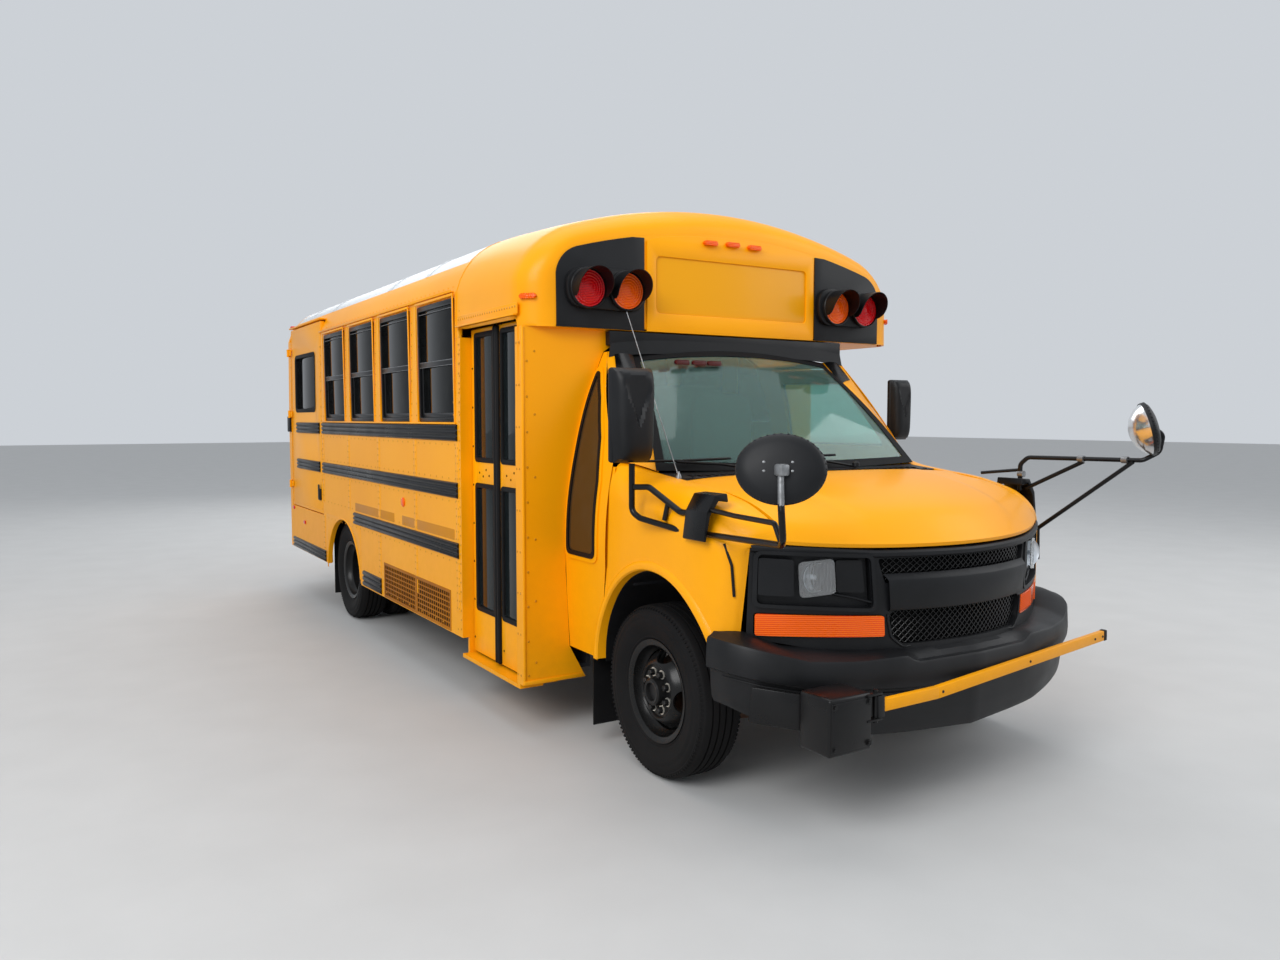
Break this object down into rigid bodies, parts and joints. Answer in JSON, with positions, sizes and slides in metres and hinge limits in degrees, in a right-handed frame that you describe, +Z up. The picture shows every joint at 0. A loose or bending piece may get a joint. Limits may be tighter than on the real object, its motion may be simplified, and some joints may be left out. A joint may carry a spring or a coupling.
{
  "type": "short school bus",
  "caption": "Short yellow school bus with a white roof, black guard rails, warning lamps, folding entry doors and a lift door",
  "frame": {"origin": "on the ground under the middle of the overall box, with the tyres standing at Z zero", "axes": "+Z up, -Y the way the bus drives, +X the driver's side"},
  "size_m": [2.5, 6.963, 2.7303],
  "materials": {
    "paint": "school bus yellow gloss enamel on sheet steel",
    "roof_paint": "white gloss enamel on sheet steel",
    "black_plastic": "grained black moulded plastic",
    "black_metal": "black paint on steel",
    "frame_metal": "black chassis paint with road dirt",
    "cast": "cast iron with surface rust",
    "tyre": "worn black tyre rubber",
    "rubber": "black rubber sheet",
    "glass": "tinted safety glass",
    "clear_lens": "clear lamp lens",
    "amber_lens": "amber lamp lens",
    "red_lens": "red lamp lens",
    "vinyl": "grey seat vinyl",
    "floor": "ribbed rubber floor over steel",
    "interior": "grey moulded dashboard plastic",
    "red_sign": "red reflective sign paint",
    "tank": "steel tank"
  },
  "bodies": {
    "root": {"amber_lamps": "amber_lens", "body_floor": "floor", "bulkheads": "paint", "bumpers": "black_plastic", "cab_floor": "floor", "cab_frame": "paint", "dashboard": "interior", "entry_steps": "floor", "exhaust": "cast", "fenders": "paint", "fixed_glass": "glass", "frame_rails": "frame_metal", "front_cap": "paint", "front_suspension": "cast", "fuel_tank": "tank", "grille": "black_plastic", "headlamps": "clear_lens", "lamp_pods": "black_metal", "left_side_wall": "paint", "mirror_arms": "black_metal", "mirror_heads": "black_plastic", "mud_flaps": "rubber", "powertrain": "cast", "rear_axle": "cast", "rear_wall": "paint", "red_lamps": "red_lens", "right_side_wall": "paint", "roof_shell": "roof_paint", "rub_rails": "black_metal", "seat_stands": "black_metal", "seats": "vinyl", "window_frames": "black_metal"},
    "knuckle_left": {"knuckle_left": "cast"},
    "front_wheel_left": {"tyre_front_left": "tyre", "wheel_front_left": "black_metal"},
    "rear_wheels_left": {"tyres_rear_left": "tyre", "wheels_rear_left": "black_metal"},
    "knuckle_right": {"knuckle_right": "cast"},
    "front_wheel_right": {"tyre_front_right": "tyre", "wheel_front_right": "black_metal"},
    "rear_wheels_right": {"tyres_rear_right": "tyre", "wheels_rear_right": "black_metal"},
    "hood": {"hood": "paint"},
    "driver_door": {"door_mirror": "black_plastic", "driver_door": "paint", "driver_door_glass": "glass"},
    "entry_leaf_front": {"entry_glass_front": "glass", "entry_leaf_front": "paint"},
    "entry_leaf_rear": {"entry_glass_rear": "glass", "entry_leaf_rear": "paint"},
    "lift_door": {"lift_door": "paint", "lift_door_glass": "glass"},
    "rear_door": {"rear_door": "paint", "rear_door_glass": "glass"},
    "crossing_arm": {"crossing_arm": "paint"},
    "stop_arm": {"stop_arm": "red_sign"},
    "roof_hatch": {"roof_hatch": "roof_paint"}
  },
  "joints": [
    {"name": "steer_left", "type": "hinge", "parent": "root", "child": "knuckle_left", "pos_m": [0.78, -2.41855, 0.372], "axis": [0, 0, 1], "range_deg": [-35, 35]},
    {"name": "spin_front_left", "type": "hinge", "parent": "knuckle_left", "child": "front_wheel_left", "pos_m": [0.86, -2.41855, 0.372], "axis": [1, 0, 0], "continuous": true},
    {"name": "spin_rear_left", "type": "hinge", "parent": "root", "child": "rear_wheels_left", "pos_m": [0.935, 1.62045, 0.372], "axis": [1, 0, 0], "continuous": true},
    {"name": "steer_right", "type": "hinge", "parent": "root", "child": "knuckle_right", "pos_m": [-0.78, -2.41855, 0.372], "axis": [0, 0, 1], "range_deg": [-35, 35]},
    {"name": "spin_front_right", "type": "hinge", "parent": "knuckle_right", "child": "front_wheel_right", "pos_m": [-0.86, -2.41855, 0.372], "axis": [1, 0, 0], "continuous": true},
    {"name": "spin_rear_right", "type": "hinge", "parent": "root", "child": "rear_wheels_right", "pos_m": [-0.935, 1.62045, 0.372], "axis": [1, 0, 0], "continuous": true},
    {"name": "hood_lid", "type": "hinge", "parent": "root", "child": "hood", "pos_m": [0, -2.39455, 1.28], "axis": [-1, 0, 0], "range_deg": [0, 50]},
    {"name": "driver_door_hinge", "type": "hinge", "parent": "root", "child": "driver_door", "pos_m": [0.992, -2.05455, 1], "axis": [0, 0, -1], "range_deg": [0, 65]},
    {"name": "entry_front_hinge", "type": "hinge", "parent": "root", "child": "entry_leaf_front", "pos_m": [-1.134, -1.57355, 1.1], "axis": [0, 0, 1], "range_deg": [0, 88]},
    {"name": "entry_rear_hinge", "type": "hinge", "parent": "root", "child": "entry_leaf_rear", "pos_m": [-1.134, -0.90855, 1.1], "axis": [0, 0, -1], "range_deg": [0, 88]},
    {"name": "lift_door_hinge", "type": "hinge", "parent": "root", "child": "lift_door", "pos_m": [-1.238, 3.28145, 1.5], "axis": [0, 0, -1], "range_deg": [0, 100]},
    {"name": "rear_door_hinge", "type": "hinge", "parent": "root", "child": "rear_door", "pos_m": [-0.466, 3.39545, 1.5], "axis": [0, 0, 1], "range_deg": [0, 110]},
    {"name": "crossing_arm_hinge", "type": "hinge", "parent": "root", "child": "crossing_arm", "pos_m": [-0.66, -3.42055, 0.52], "axis": [0, 0, -1], "range_deg": [0, 90]},
    {"name": "stop_arm_hinge", "type": "hinge", "parent": "root", "child": "stop_arm", "pos_m": [1.238, -0.87855, 1.3], "axis": [0, 0, -1], "range_deg": [0, 90]},
    {"name": "roof_hatch_hinge", "type": "hinge", "parent": "root", "child": "roof_hatch", "pos_m": [0, 1.61345, 2.716], "axis": [-1, 0, 0], "range_deg": [0, 60]}
  ],
  "couplings": [
    {"joint": "steer_right", "follows": "steer_left", "ratio": 1},
    {"joint": "entry_rear_hinge", "follows": "entry_front_hinge", "ratio": 1}
  ]
}
